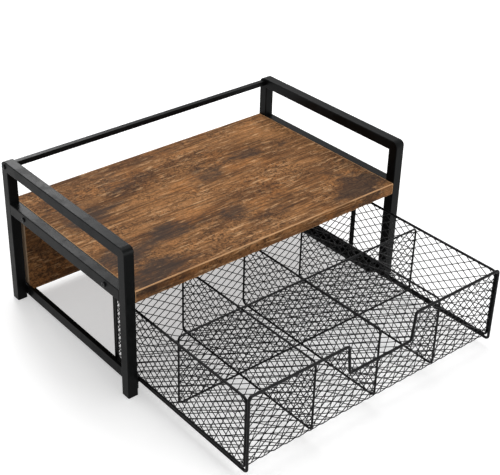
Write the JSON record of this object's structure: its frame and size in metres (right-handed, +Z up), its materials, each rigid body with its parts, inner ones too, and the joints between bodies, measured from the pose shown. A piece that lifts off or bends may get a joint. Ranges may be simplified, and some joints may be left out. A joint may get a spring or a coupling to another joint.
{
  "type": "tea bag drawer box",
  "caption": "Tabletop black square-tube stand with a wooden shelf and back panel over a sliding wire-mesh basket drawer divided into sachet compartments, notched at its front.",
  "frame": {"origin": "on the table under the middle of the whole box with its drawer drawn out; X = 0 is the box's middle plane", "axes": "+X to the right seen from the front, +Y towards the back (the drawer opens along -Y), +Z up"},
  "size_m": [0.4096, 0.4253, 0.19],
  "materials": {
    "frame_black": "satin black powder coat",
    "wire_black": "satin black coat",
    "screw_black": "black",
    "shelf_wood": "oiled reclaimed board, worn",
    "panel_wood": "oiled, dark"
  },
  "bodies": {
    "stand": {"left_front_leg": "frame_black", "left_back_leg": "frame_black", "left_top_rail": "frame_black", "left_shelf_rail": "frame_black", "left_runner": "frame_black", "right_front_leg": "frame_black", "right_back_leg": "frame_black", "right_top_rail": "frame_black", "right_shelf_rail": "frame_black", "right_runner": "frame_black", "guard_bar": "frame_black", "shelf_board": "shelf_wood", "back_panel": "panel_wood", "shelf_screws": "screw_black", "guard_screws": "screw_black"},
    "drawer": {"left_drawer_side_loop": "wire_black", "right_drawer_side_loop": "wire_black", "drawer_rail_loop": "wire_black", "left_drawer_side_mesh": "wire_black", "right_drawer_side_mesh": "wire_black", "drawer_front_mesh": "wire_black", "drawer_front_fold": "wire_black", "drawer_floor_mesh": "wire_black", "drawer_back_fold": "wire_black", "drawer_back_mesh": "wire_black", "divider_loop_1": "wire_black", "divider_loop_2": "wire_black", "divider_loop_3": "wire_black", "divider_mesh_1": "wire_black", "divider_mesh_2": "wire_black", "divider_mesh_3": "wire_black", "cross_loop": "wire_black", "cross_mesh": "wire_black"}
  },
  "joints": [
    {"name": "drawer_slide", "type": "slide", "parent": "stand", "child": "drawer", "axis": [0, -1, 0], "range_m": [-0.18, 0]}
  ]
}
